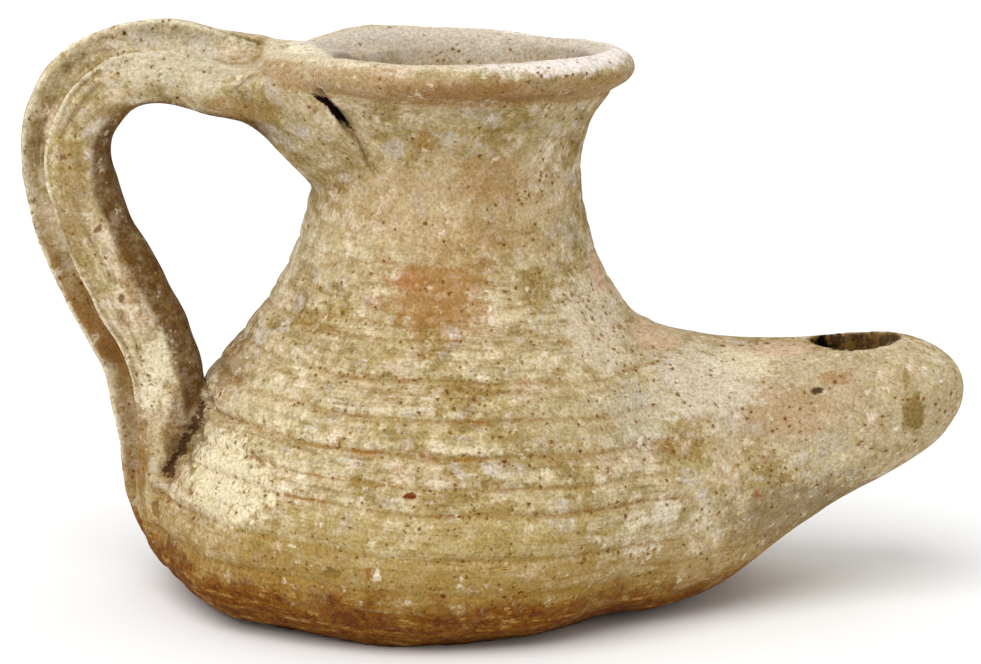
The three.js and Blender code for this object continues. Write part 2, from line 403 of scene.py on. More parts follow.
def drawStrap():
    line = smoothLine(strap["line"], 400)
    length = np.linalg.norm(np.diff(line, axis=0), axis=1).sum()
    share = np.linspace(0, 1, strap["rings"])
    width, radius, groove, deeper, twist = smoothRows(strap["form"], share)
    rings = [(s * length, 0, w, r) for s, w, r in zip(share, width, radius)]
    piece = pullAlongX("strap", rings, strap["sides"])
    grooved = wholeSection("grooved")
    plain = wholeSection("plain")
    turn = np.argsort(np.arctan2(plain[:, 0] / strap["halfWidth"], plain[:, 1] / strap["ribRadius"]))
    points = readPoints(piece)
    for s, w, r, g, deep in zip(share, width, radius, groove, deeper):
        ring = np.nonzero(np.abs(points[:, 0] - s * length) < 0.01)[0]
        angle = np.arctan2(points[ring, 1] / w, points[ring, 2] / r)
        ring = ring[np.argsort(angle)]
        outline = (plain + (grooved - plain) * np.clip(g, 0, 1))[turn]
        across = outline[:, 0] / strap["halfWidth"]
        height = outline[:, 1] * r / strap["ribRadius"]
        under = np.sqrt(np.clip(1 - across ** 2, 0, 1)) * (outline[:, 1] < 0)
        points[ring, 1] = across * w
        points[ring, 2] = height - deep * under
    writePoints(piece, points)
    return piece, line, length, np.interp(np.linspace(0, 1, len(line)), share, twist)


def bendStrap(piece, line, twist):
    guide = bpy.data.curves.new("strapGuide", "CURVE")
    guide.dimensions = "3D"
    guide.twist_mode = "MINIMUM"
    spline = guide.splines.new("POLY")
    spline.points.add(len(line) - 1)
    for point, (x, z), turn in zip(spline.points, line, twist):
        point.co = (x, 0, z, 1)
        point.tilt = -math.radians(turn)
    guideObject = bpy.data.objects.new("strapGuide", guide)
    bpy.context.collection.objects.link(guideObject)
    bpy.context.view_layer.update()
    applyModifier(piece, "CURVE", object=guideObject, deform_axis="POS_X")
    bpy.data.objects.remove(guideObject)


strapPiece, strapLine, strapLength, strapTwist = drawStrap()
bendStrap(strapPiece, strapLine, strapTwist)
pick(strapPiece)
editAll()
faceOutwards()
print("strap bent", round(strapLength, 1), "mm long")


# Luting: the parts are pressed together, and the joins are smoothed over

luting = {
    "voxel": 0.42,           # fineness of the clay skin in mm
    "insideVoxel": 0.8,
    # place, size and passes of the smoothing at each join
    "joins": {
        "lip to handle": ((-22, 0, 74.5), (10, 17, 4.5), 40),
        "lip into the near web": ((-19, -15, 70.5), (9, 10, 7), 60),
        "lip into the far web": ((-19, 15, 70.5), (9, 10, 7), 60),
        "under the handle's root": ((-22, 0, 62), (8, 16, 7.5), 160),
        "handle's foot": ((-36, 0, 8), (8, 14, 12), 16),
        "shoulder to nozzle": ((26, 0, 40), (14, 28, 12), 60),
        "nozzle's root": ((30, 0, 16), (14, 34, 20), 60),
        "under the nozzle's near root": ((24, -22, 2), (14, 14, 9), 90),
        "under the nozzle's far root": ((24, 22, 2), (14, 14, 9), 90),
        "wick hole's edge": ((57.4, 0, 35.6), (9, 7, 2.2), 9),
    },
    "everywhere": 3,
}


# Smooths a mesh in passes, with a weight from 0 to 1 for each point.
def smoothOver(piece, weights, passes):
    group = piece.vertex_groups.new(name="smoothing")
    steps = 10
    level = np.round(np.clip(weights, 0, 1) * steps).astype(int)
    for step in range(1, steps + 1):
        chosen = np.nonzero(level == step)[0].tolist()
        if chosen:
            group.add(chosen, step / steps, "REPLACE")
    applyModifier(piece, "SMOOTH", factor=0.5, iterations=passes, vertex_group="smoothing")
    piece.vertex_groups.remove(piece.vertex_groups["smoothing"])


outside = joinPieces("lamp", [bodyPiece, nozzlePiece, strapPiece] + rootPieces)
applyModifier(outside, "REMESH", mode="VOXEL", voxel_size=luting["voxel"])
inside = joinPieces("inside", [hollowPiece, channelPiece, wickPiece])
applyModifier(inside, "REMESH", mode="VOXEL", voxel_size=luting["insideVoxel"])
applyModifier(inside, "SMOOTH", factor=0.5, iterations=4)
applyModifier(outside, "BOOLEAN", object=inside, operation="DIFFERENCE", solver="MANIFOLD")
bpy.data.objects.remove(inside)
applyModifier(outside, "REMESH", mode="VOXEL", voxel_size=luting["voxel"])
lamp = outside
print("luted", len(lamp.data.polygons), "faces")

for place, size, passes in luting["joins"].values():
    far = np.linalg.norm((readPoints(lamp) - place) / size, axis=1)
    smoothOver(lamp, 1 - smoothStep(0.6, 1, far), passes)
applyModifier(lamp, "SMOOTH", factor=0.5, iterations=luting["everywhere"])
print("joins smoothed")


# What the hands did after throwing: the base pushed over, and the lip waved.
def handle(points):
    low = np.maximum(0, 1 - points[:, 2] / body["baseShiftHeight"])
    lipShare = smoothStep(body["lipWavesFrom"], body["lipTop"], points[:, 2])
    for x, y, height, reach in body["lipWaves"]:
        far = np.hypot(points[:, 0] - x, points[:, 1] - y) / reach
        points[:, 2] += height * np.exp(-far ** 2) * lipShare
    points[:, 0] += body["baseShift"] * low
    points[:, 2] = np.where(points[:, 2] < body["flatUnder"], 0, points[:, 2])
    return points


# Where each kind of skin begins and ends, in mm
skinEdges = {
    "offWall": (2.6, 0.9),   # how far a point may lie from the thrown wall
    "lipTop": 75.9,
    "inWall": (0.8, 2.2),    # how far in from the wall the inside begins
    "insideTo": 45,          # the inside of the body ends here along x
    "channel": (24, 67),
    "wickHole": (24, 36, 36.5),
    "offStrap": (9.5, 7.8),  # how far a point may lie from the strap's line
    "fromWall": (0.6, 1.8),  # how far the strap stands off the body
    "strapFrom": (-22, -26),
    "strapInside": (3.9, 4.7),  # how far in from the strap's line its inner face begins
}
wallLine = outerLine[:-9]    # the last nine points turn back down into the mouth


# Where each point of the clay's skin lies, in the maker's terms.
# level: its height on the wheel, whose marks run a little downhill towards the nozzle and waver.
# thrown, inner, strap, under: shares from 0 to 1. along and across: its place on the strap, in mm.
def skinFields(points, normals):
    x, y, z = points.T
    radius = np.hypot(x, y)
    angle = np.arctan2(x, -y)
    waver = 0.35 * np.sin(2 * angle + 0.6) + 0.22 * np.sin(5 * angle + z / 9)
    waver += 0.16 * np.sin(11 * angle - z / 5)
    level = z + wheel["downhill"] * x + wheel["waver"] * waver
    wall = np.interp(z, wallLine[:, 1], wallLine[:, 0])
    outward = (normals[:, 0] * x + normals[:, 1] * y) / np.maximum(radius, 1e-6)
    thrown = smoothStep(*skinEdges["offWall"], np.abs(radius - wall)) * (z < skinEdges["lipTop"])
    thrown *= smoothStep(-0.1, 0.25, outward + 0.3)
    shallow, deep = skinEdges["inWall"]
    inner = smoothStep(0.1, -0.3, outward) * smoothStep(wall - shallow, wall - deep, radius)
    inner *= x < skinEdges["insideTo"]
    top, bottom, width = smoothRows(nozzle["channel"], x)
    channelFar = np.hypot(y / width, (z - (top + bottom) / 2) / (top - bottom) * 2)
    lengthways = (x - nozzle["wickX"] - nozzle["wickFlareShift"]) / nozzle["wickLength"] / nozzle["wickFlare"]
    wickFar = np.hypot(lengthways, y / nozzle["wickWidth"] / nozzle["wickFlareAcross"]) * 2
    start, end = skinEdges["channel"]
    inner = np.maximum(inner, smoothStep(1.16, 1.06, channelFar) * (x > start) * (x < end))
    low, high, rim = skinEdges["wickHole"]
    inner = np.maximum(inner, smoothStep(1.1, 1.0, wickFar) * smoothStep(rim, high, z) * (z > low))
    strapShare, under, along, across = np.zeros((4, len(points)))
    near = np.nonzero(x < -20)[0]
    line = strapLine[::2]
    for part in np.array_split(near, max(1, len(near) // 8000)):
        gap = points[part][:, None, [0, 2]] - line[None]
        nearest = np.argmin((gap ** 2).sum(2), axis=1)
        off = points[part][:, [0, 2]] - line[nearest]
        before = line[np.maximum(nearest - 1, 0)]
        after = line[np.minimum(nearest + 1, len(line) - 1)]
        tangent = (after - before) / np.linalg.norm(after - before, axis=1)[:, None]
        height = off[:, 0] * -tangent[:, 1] + off[:, 1] * tangent[:, 0]
        turn = np.radians(strapTwist[::2][nearest])
        across[part] = y[part] * np.cos(turn) - height * np.sin(turn)
        under[part] = smoothStep(*skinEdges["strapInside"], height)
        along[part] = nearest / (len(line) - 1) * strapLength
        onStrap = smoothStep(*skinEdges["offStrap"], np.linalg.norm(off, axis=1))
        strapShare[part] = onStrap * smoothStep(*skinEdges["fromWall"], radius[part] - wall[part])
    strapShare *= smoothStep(*skinEdges["strapFrom"], x)
    return {"level": level, "thrown": thrown * (1 - inner), "inner": inner, "strap": strapShare,
            "under": under * strapShare, "along": along, "across": across, "angle": np.degrees(angle)}


# Wheel marks and the marks of hands, tools and wear

wheel = {
    "downhill": 0.033,
    "waver": 0.8,
    # level, depth, width in mm
    "grooves": [(2.2, 0.12, 0.6), (9.2, 0.26, 0.5), (14.1, 0.22, 0.5), (19.8, 0.3, 0.55),
                (22.9, 0.24, 0.5), (26.6, 0.42, 0.6), (30.8, 0.28, 0.55), (35.2, 0.18, 0.5),
                (39.9, 0.18, 0.45), (41.6, 0.12, 0.4), (44.7, 0.12, 0.45), (48.8, 0.15, 0.4),
                (52.5, 0.08, 0.4), (55.4, 0.08, 0.4), (59.8, 0.08, 0.4), (71, 0.22, 0.5)],
    "swell": 0.38,           # how far the clay stands out between two grooves
    "swellHigh": 0.04,       # the same, up on the neck
    "fine": 0.09,            # fine lines between them
}

handMarks = {
    "waviness": [(16, 0.42, 3), (7, 0.2, 5), (3, 0.1, 9)],       # size, height, seed
    "strapWaviness": [(11, 0.35, 21), (4.5, 0.16, 23)],
    "pits": {"count": 90, "radius": (0.45, 1.0), "depth": (0.15, 0.4), "seed": 4},
    # the tear in the neck where the handle's pad was pressed on: points, width, depth
    "tear": [([(-16.4, -19, 71.2), (-14.2, -18, 69.4), (-12.6, -17, 67.2)], 0.5, 2.2),
             ([(-12.6, -17, 67.2), (-11, -16.6, 65), (-9.7, -16.2, 61.6)], 0.42, 0.6)],
    # the crevice between the handle's foot and the body
    "crevice": [([(-31.5, -8.5, 31), (-33.2, -9.8, 26.4), (-34.7, -10.1, 23.6), (-36.7, -8.6, 20.9),
                  (-38, -8.7, 17.8)], 1.1, 1.4)],
    # lumps and dents: place, radius, height
    "lumps": [((-3, -29, 0.6), 8, 0.7), ((-23, -1, 77), 4, -0.6), ((50.3, -11.8, 30.1), 1.1, -0.6),
              ((51.6, -11.4, 30.6), 0.9, -0.4), ((-39.7, -8.7, 12.8), 1.6, -0.5), ((-12, 24, 74), 5, 0.5),
              ((-28, -22, 3), 6, 0.5), ((14, -30, 2), 7, 0.5), ((-8.6, -38.5, 11.8), 0.7, 0.45)],
}


# How far points lie from a bent line on the near side, where depth counts for little.
def farFromLine(points, line):
    depthShare = np.array((1, 0.3, 1))
    best = np.full(len(points), 1e9)
    points = points * depthShare
    line = np.array(line, float) * depthShare
    for a, b in zip(line, line[1:]):
        t = np.clip((points - a) @ (b - a) / ((b - a) @ (b - a)), 0, 1)
        best = np.minimum(best, np.linalg.norm(points - a - t[:, None] * (b - a), axis=1))
    return best


def wheelRelief(level, angle, points):
    grooves = np.array(wheel["grooves"])
    edges = np.r_[-1, grooves[:, 0], 90]
    band = np.clip(np.searchsorted(edges, level) - 1, 0, len(edges) - 2)
    share = np.clip((level - edges[band]) / (edges[band + 1] - edges[band]), 0, 1)
    tall = np.clip((edges[band + 1] - edges[band]) / 4.5, 0.3, 1)
    height = np.interp(level, [0, 30, 50, 66], [wheel["swell"], wheel["swell"], wheel["swellHigh"] * 1.5, 0])
    strength = (0.75 + 0.45 * cloud(points, 14, 31)) * np.interp(angle, [-60, -20, 40], [1.9, 1.15, 1.0])
    relief = height * tall * strength * np.sin(math.pi * share ** 0.8) ** 0.8
    for groove, depth, width in wheel["grooves"]:
        relief -= depth * strength * np.exp(-((level - groove) / width) ** 2)
    ribbon = np.column_stack([np.radians(angle) * 2.2, level * 0, level])
    fine = wheel["fine"] * np.interp(level, [36, 52], [1, 0.4])
    relief += fine * cloud(ribbon, (1, 1, 0.9), 12)
    relief += fine * 0.8 * cloud(ribbon, (1, 1, 0.5), 14)
    return relief * smoothStep(75.2, 73, level)


def carve(piece):
    points = readPoints(piece)
    normals = readNormals(piece)
    skin = skinFields(points, normals)
    relief = skin["thrown"] * wheelRelief(skin["level"], skin["angle"], points)
    relief *= smoothStep(0.2, 2.5, points[:, 2])
    outer = 1 - skin["inner"]
    for size, height, seed in handMarks["waviness"]:
        relief += height * cloud(points, size, seed) * (0.45 + 0.55 * outer)
    for size, height, seed in handMarks["strapWaviness"]:
        relief += height * cloud(points, size, seed) * skin["strap"]
    ribbon = np.column_stack([skin["along"] / 9, skin["across"], skin["across"] * 0])
    relief += 0.1 * cloud(ribbon, (1, 0.9, 1), 25) * skin["strap"]
    onTop = skin["strap"] * (1 - skin["under"]) * smoothStep(*strap["crestFrom"], points[:, 0])
    fromMiddle = np.abs(skin["across"])
    relief += strap["crestHeight"] * np.exp(-((fromMiddle - strap["crest"]) / 0.5) ** 2) * onTop
    relief -= strap["crestHeight"] * np.exp(-((fromMiddle - strap["crest"] + 1.4) / 0.8) ** 2) * onTop
    for lines in ("tear", "crevice"):
        for line, width, depth in handMarks[lines]:
            ragged = width * (1 + 0.35 * cloud(points, 1.3, 41))
            relief -= depth * np.exp(-(farFromLine(points, line) / ragged) ** 2) * outer
    for place, radius, height in handMarks["lumps"]:
        relief += height * np.exp(-(np.linalg.norm(points - place, axis=1) / radius) ** 2)
    pits = handMarks["pits"]
    rng = np.random.default_rng(pits["seed"])
    for spot in rng.integers(0, len(points), pits["count"]):
        radius = rng.uniform(*pits["radius"])
        depth = rng.uniform(*pits["depth"])
        relief -= depth * np.exp(-(np.linalg.norm(points - points[spot], axis=1) / radius) ** 2)
    writePoints(piece, points + normals * relief[:, None])


carve(lamp)
print("marks carved")

finish = {"triangles": 190000}
trianglesNow = sum(len(p.vertices) - 2 for p in lamp.data.polygons)
applyModifier(lamp, "DECIMATE", ratio=finish["triangles"] / trianglesNow)
print("thinned from", trianglesNow, "to", len(lamp.data.polygons), "triangles")

fieldNames = ("level", "thrown", "inner", "strap", "under", "along", "across")
fields = skinFields(readPoints(lamp), readNormals(lamp))
for name in fieldNames:
    layer = lamp.data.attributes.new(name, "FLOAT", "POINT")
    layer.data.foreach_set("value", fields[name].astype(np.float32))

writePoints(lamp, handle(readPoints(lamp)))
pick(lamp)
bpy.ops.transform.resize(value=(metresPerMm,) * 3, center_override=(0, 0, 0))
bakePlace()
bpy.ops.object.shade_smooth()
print("lamp whole", len(lamp.data.vertices), "points")


# Helpers for materials

def linear(colour):
    parts = [c / 255 for c in colour]
    return tuple(c / 12.92 if c <= 0.04045 else ((c + 0.055) / 1.055) ** 2.4 for c in parts) + (1,)


# Puts a node in a tree. An input is a value, or another node's output to wire in.
def put(tree, kind, inputs, **settings):
    made = tree.nodes.new("ShaderNode" + kind)
    for name, value in settings.items():
        setattr(made, name, value)
    for key, value in inputs.items():
        if isinstance(value, bpy.types.NodeSocket):
            tree.links.new(value, made.inputs[key])
        else:
            made.inputs[key].default_value = value
    return made


def math2(tree, operation, a, b=0.0, clamp=False):
    return put(tree, "Math", {0: a, 1: b}, operation=operation, use_clamp=clamp).outputs[0]


# A share from 0 to 1 as the value goes from low to high.
def span(tree, value, low, high, start=0.0, end=1.0):
    inputs = {"Value": value, "From Min": low, "From Max": high, "To Min": start, "To Max": end}
    return put(tree, "MapRange", inputs, interpolation_type="SMOOTHSTEP").outputs[0]


def mixColour(tree, under, over, share, mode="MIX"):
    inputs = {0: share, 6: under, 7: over}
    return put(tree, "Mix", inputs, data_type="RGBA", blend_type=mode).outputs[2]


# Noise with lumps of the given size in mm: one size, or one for each axis
def noiseAt(tree, place, size, detail, rough, seed):
    size = size if isinstance(size, tuple) else (size,) * 3
    inputs = {"Vector": place, "Location": (seed * 3.7, seed * 1.9, seed * 2.3)}
    spot = put(tree, "Mapping", {**inputs, "Scale": tuple(1 / s for s in size)}).outputs[0]
    inputs = {"Vector": spot, "Scale": 1.0, "Detail": detail, "Roughness": rough}
    return put(tree, "TexNoise", inputs).outputs["Fac"]


# Specks, one in each cell of the given size, kept in a share of the cells: the speck and its halo
def specksAt(tree, place, size, radius, share, seed):
    inputs = {"Vector": place, "Location": (seed * 5.1, seed * 2.7, seed * 3.3), "Scale": (1 / size,) * 3}
    spot = put(tree, "Mapping", inputs).outputs[0]
    cells = put(tree, "TexVoronoi", {"Vector": spot, "Scale": 1.0})
    red, green = put(tree, "SeparateColor", {0: cells.outputs["Color"]}).outputs[:2]
    reach = math2(tree, "MULTIPLY", green, radius / size)
    near = math2(tree, "SUBTRACT", reach, cells.outputs["Distance"])
    kept = math2(tree, "LESS_THAN", red, share)
    speck = math2(tree, "MULTIPLY", span(tree, near, 0.0, 0.08), kept)
    return speck, math2(tree, "MULTIPLY", span(tree, near, -0.3, 0.0), kept)


# Colours along a ramp: stops are (place, colour).
def rampAt(tree, value, stops):
    made = put(tree, "ValToRGB", {0: value})
    ramp = made.color_ramp
    for element, (at, colour) in zip(ramp.elements, (stops[0], stops[-1])):
        element.position = at
        element.color = colour
    for at, colour in stops[1:-1]:
        ramp.elements.new(at).color = colour
    return made.outputs["Color"]


# The fired clay

clay = {
    "buff": (181, 163, 124),
    "olive": (158, 139, 90),
    "tan": (143, 116, 62),
    "cream": (218, 206, 176),
    "pink": (194, 158, 130),
    "lilac": (190, 178, 164),
    "rust": (146, 94, 36),
    "rustDark": (96, 44, 10),
    "pinhole": (104, 66, 20),
    "halo": (150, 112, 56),
    "lime": (232, 222, 194),
    # inside: soot with painted shade lower down, and black as painted shade with soot deep in the channel
    "sootAndShade": (48, 30, 14),
    "black": (9, 6, 4),
    "crust": (216, 206, 184),
    # painted shade with dirt on the strap's underside
    "strapUndersideShadeAndDirt": (96, 64, 28),
    "farRib": (142, 100, 46),
    "trough": (138, 106, 56),
    "lipBand": (154, 121, 78),
    # painted highlight on the lip's top, from its left to its right
    "lipHighlightLeft": (208, 192, 164),
    "lipHighlightRight": (232, 222, 212),
    "insideOlive": (160, 140, 106),
    "wickPale": (122, 90, 38),
    "wickDark": (68, 40, 12),
    # the foot: scorching with painted shade, and its pale patches
    "scorchAndShadeEdge": (150, 116, 50),
    "footPale": (176, 142, 78),
    "scorchAndShade": (120, 70, 6),
    "shine": 0.08,
    "roughness": 0.88,
    "grainDepth": 0.00022,   # in metres
}

# The noises that break the colours up: size in mm, detail, roughness, seed
grain = {
    "broad": (12, 4, 0.66, 1),
    "second": (5.5, 4, 0.7, 2),
    "third": (1.9, 4, 0.72, 3),
    "streak": ((7, 7, 0.8), 4, 0.66, 5),     # along the wheel marks
    "pulled": ((12, 1.3, 1), 4, 0.66, 7),    # along the strap
    "dirtGaps": ((3.4, 3.4, 3), 3, 0.8, 10),
    "lime": (2.2, 3, 0.76, 15),
    "speckClusters": (8, 1, 0.6, 21),
}

# Washes of colour, stains, painted shade and painted highlights by place: centre in mm, radii in mm, colour,
# strength
stains = {
    "olive belly": ((0, -38, 13), (32, 22, 9), (158, 133, 64), 0.55),
    "olive right of the belly": ((16, -27, 29), (12, 12, 8), (160, 140, 94), 0.45),
    "pale neck": ((4, -19, 57), (22, 12, 9), (184, 154, 112), 0.45),
    # painted highlight on the lip's top, at the right
    "painted highlight right of the lip": ((17, -13, 75.2), (10, 12, 1.3), (236, 226, 220), 0.75),
    "pale nozzle": ((46, -12, 30), (24, 16, 9), (176, 158, 130), 0.55),
    "grimy tip": ((64, -6, 26), (12, 12, 9), (168, 150, 112), 0.45),
    "pale handle's top": ((-36, -6, 75), (14, 12, 5), (202, 191, 168), 0.6),
    "red patch under the neck": ((-1, -23, 45.5), (9, 8, 5.5), (158, 108, 58), 0.6),
    "red core of that patch": ((-5, -22, 47), (3.4, 6, 1.3), (160, 96, 50), 0.45),
    "brown on the neck": ((6, -19, 60), (5, 8, 4), (162, 124, 80), 0.4),
    "brown patch on the neck": ((-2.5, -19, 65.5), (1.6, 6, 1.6), (166, 128, 70), 0.6),
    "rust on the lip": ((3, -25, 72.6), (10, 6, 1.4), (134, 88, 40), 0.55),
    # painted shade under the lip's overhang
    "painted shade under the lip": ((12, -23, 71.4), (9, 8, 0.8), (112, 80, 44), 0.5),
    # painted shade in the crevice between the handle's foot and the body
    "painted shade in the crevice": ((-34.4, -10, 25.5), (3.0, 8, 6.5), (104, 76, 38), 0.7),
    "cream on the left of the belly": ((-29, -24, 21), (9, 14, 6), (232, 219, 184), 0.7),
    "cream on the left shoulder": ((-22, -20, 30), (8, 10, 4), (216, 200, 164), 0.4),
    "brown at the belly's left edge": ((-30, -10, 34), (4, 10, 4), (126, 98, 62), 0.6),
    # scorch with painted shade low on the foot and under the handle
    "scorch and painted shade on the left of the foot": ((-27, -26, 5.5), (12, 14, 3), (116, 66, 16), 0.6),
    "scorch and painted shade under the handle": ((-36, -14, 4.5), (6, 10, 3.6), (96, 54, 14), 0.7),
    "orange at the handle's foot": ((-39.5, -8.5, 7.5), (2.0, 5, 2.4), (170, 92, 44), 0.65),
    "stain at the handle's foot": ((-39.7, -9, 13), (0.9, 4, 1.4), (78, 48, 20), 0.8),
    "grey spot low on the belly": ((-14.5, -36, 11.6), (1.5, 4, 0.85), (78, 62, 28), 0.85),
    "rust behind the lime chip": ((-9.5, -38, 11.9), (0.7, 3, 0.9), (140, 76, 22), 0.85),
    "lime chip low on the belly": ((-8.4, -38, 11.8), (0.5, 3, 1.0), (255, 250, 232), 1.0),
    "rust spot on the belly": ((-4.2, -37, 21.9), (0.95, 3, 0.5), (106, 46, 12), 1.0),
    "lime on the right of the belly": ((29, -24, 17), (2.4, 6, 2.6), (222, 214, 194), 0.6),
    "lime at a groove's end": ((26, -24, 26), (0.6, 3, 0.8), (240, 230, 214), 1.0),
    "pink shoulder": ((21, -7, 46), (2.2, 5, 4), (208, 158, 134), 0.5),
    "pink on the nozzle's root": ((28, -6, 37), (6, 6, 2.2), (214, 176, 148), 0.45),
    "pink on the nozzle's top": ((46, -4, 35), (5, 5, 1.6), (208, 172, 150), 0.45),
    "cream on the nozzle's top": ((40, -8, 33.5), (6, 6, 2), (222, 208, 174), 0.5),
    "pale root of the nozzle": ((34, -12, 31), (9, 10, 6), (214, 202, 184), 0.5),
    "grey on the shoulder": ((25, -20, 28), (5, 8, 6), (190, 182, 162), 0.45),
    "pale right shoulder": ((20, -14, 40), (7, 10, 7), (212, 197, 172), 0.65),
    "brown on the nozzle's side": ((47, -14, 28), (7, 8, 3.6), (168, 136, 100), 0.5),
    "orange chip under the nozzle": ((42, -17, 17.6), (0.45, 3, 0.9), (176, 92, 48), 0.9),
    "olive stain on the nozzle": ((63.6, -11.5, 26.9), (2.0, 4, 3.0), (122, 98, 46), 0.85),
    "trail above that stain": ((62.6, -9, 31.4), (0.5, 4, 2.4), (140, 116, 66), 0.7),
    # painted shade on the nozzle's underside
    "painted shade under the nozzle": ((48, -12, 14), (16, 14, 6), (126, 106, 74), 0.65),
    "pit on the nozzle": ((50.4, -11.6, 30.1), (1.2, 3, 0.6), (66, 46, 22), 0.95),
    "rust by that pit": ((52.8, -9.5, 31.8), (2.4, 4, 1.0), (156, 116, 72), 0.65),
    "grime on the upright": ((-50.5, -8, 56), (2.8, 8, 11), (146, 118, 70), 0.6),
    "brown low in the groove": ((-42.2, -6, 21), (1.8, 9, 7), (132, 92, 42), 0.7),
    "brown low on the handle": ((-37.5, -9, 21), (1.4, 6, 6), (116, 82, 40), 0.7),
    "pale on the near rib": ((-39.2, -9, 33.5), (2.4, 6, 5), (226, 214, 184), 0.8),
    "rust on the rib's bend": ((-51.6, -7.5, 61.6), (0.9, 3, 0.5), (112, 64, 26), 0.8),
    "rust half way down": ((-46.9, -7.7, 51.9), (0.7, 3, 0.6), (108, 64, 26), 0.8),
    "rust lower down": ((-44, -7.9, 42.3), (0.6, 3, 0.6), (108, 64, 26), 0.8),
    "hole on the bend": ((-43.8, 0, 77.5), (0.35, 3, 0.7), (34, 20, 10), 1.0),
    "rust by that hole": ((-45.3, -0.5, 76.8), (1.1, 3, 0.5), (142, 80, 28), 0.85),
    # painted shade with dirt under the handle's bend
    "painted shade and dirt under the bend": ((-44, -5, 67.6), (5, 8, 1.8), (132, 102, 56), 0.55),
    "brown under the handle's root": ((-27, -12, 68.6), (7, 10, 1.8), (146, 112, 58), 0.6),
    "orange chip beside the tear": ((-15, -18.6, 71.4), (0.7, 2, 0.3), (170, 110, 54), 0.7),
    "grey on the lip": ((13, -24, 73.6), (2.4, 4, 0.7), (128, 118, 94), 0.5),
    # painted shadow: the dark interior seen past the wick hole's far left wall
    "painted shadow at the wick hole's far end": ((52.4, 2, 32.4), (3.3, 6, 3.0), (7, 5, 3), 1.0),
}

# Cracks, with painted shade in the tear and the crevice: the points of each as (x, z), its place in y, half
# its width in mm, colour, strength, raggedness
cracks = {
    # painted shade: the dark inside of the tear
    "painted shade in the tear beside the handle": ([(-15.6, 70.7), (-12.6, 67.2)], -18, 0.56, (22, 12, 6), 1.0, 1.6),
    "painted shade in the tear's thin end": ([(-17.2, 71.6), (-14.8, 70.1)], -18.5, 0.3, (30, 17, 8), 1.0, 1.2),
    "seam below the tear": ([(-12.6, 67.2), (-11.5, 65.5), (-10.5, 63.3), (-9.7, 61.2)],
                            -17, 0.24, (132, 100, 56), 0.7, 3.0),
    "scratch above the tear": ([(-18.8, 72.2), (-16.8, 71.4)], -19, 0.12, (140, 118, 84), 0.8, 1.2),
    # painted shade down the crevice at the handle's foot
    "painted shade in the crevice at the handle's foot": ([(-32.6, 29.5), (-33.4, 26.4), (-35.2, 23.2), (-37.2, 20),
                                      (-38.2, 17.6)], -9, 0.8, (58, 36, 15), 0.85, 4.6),
}


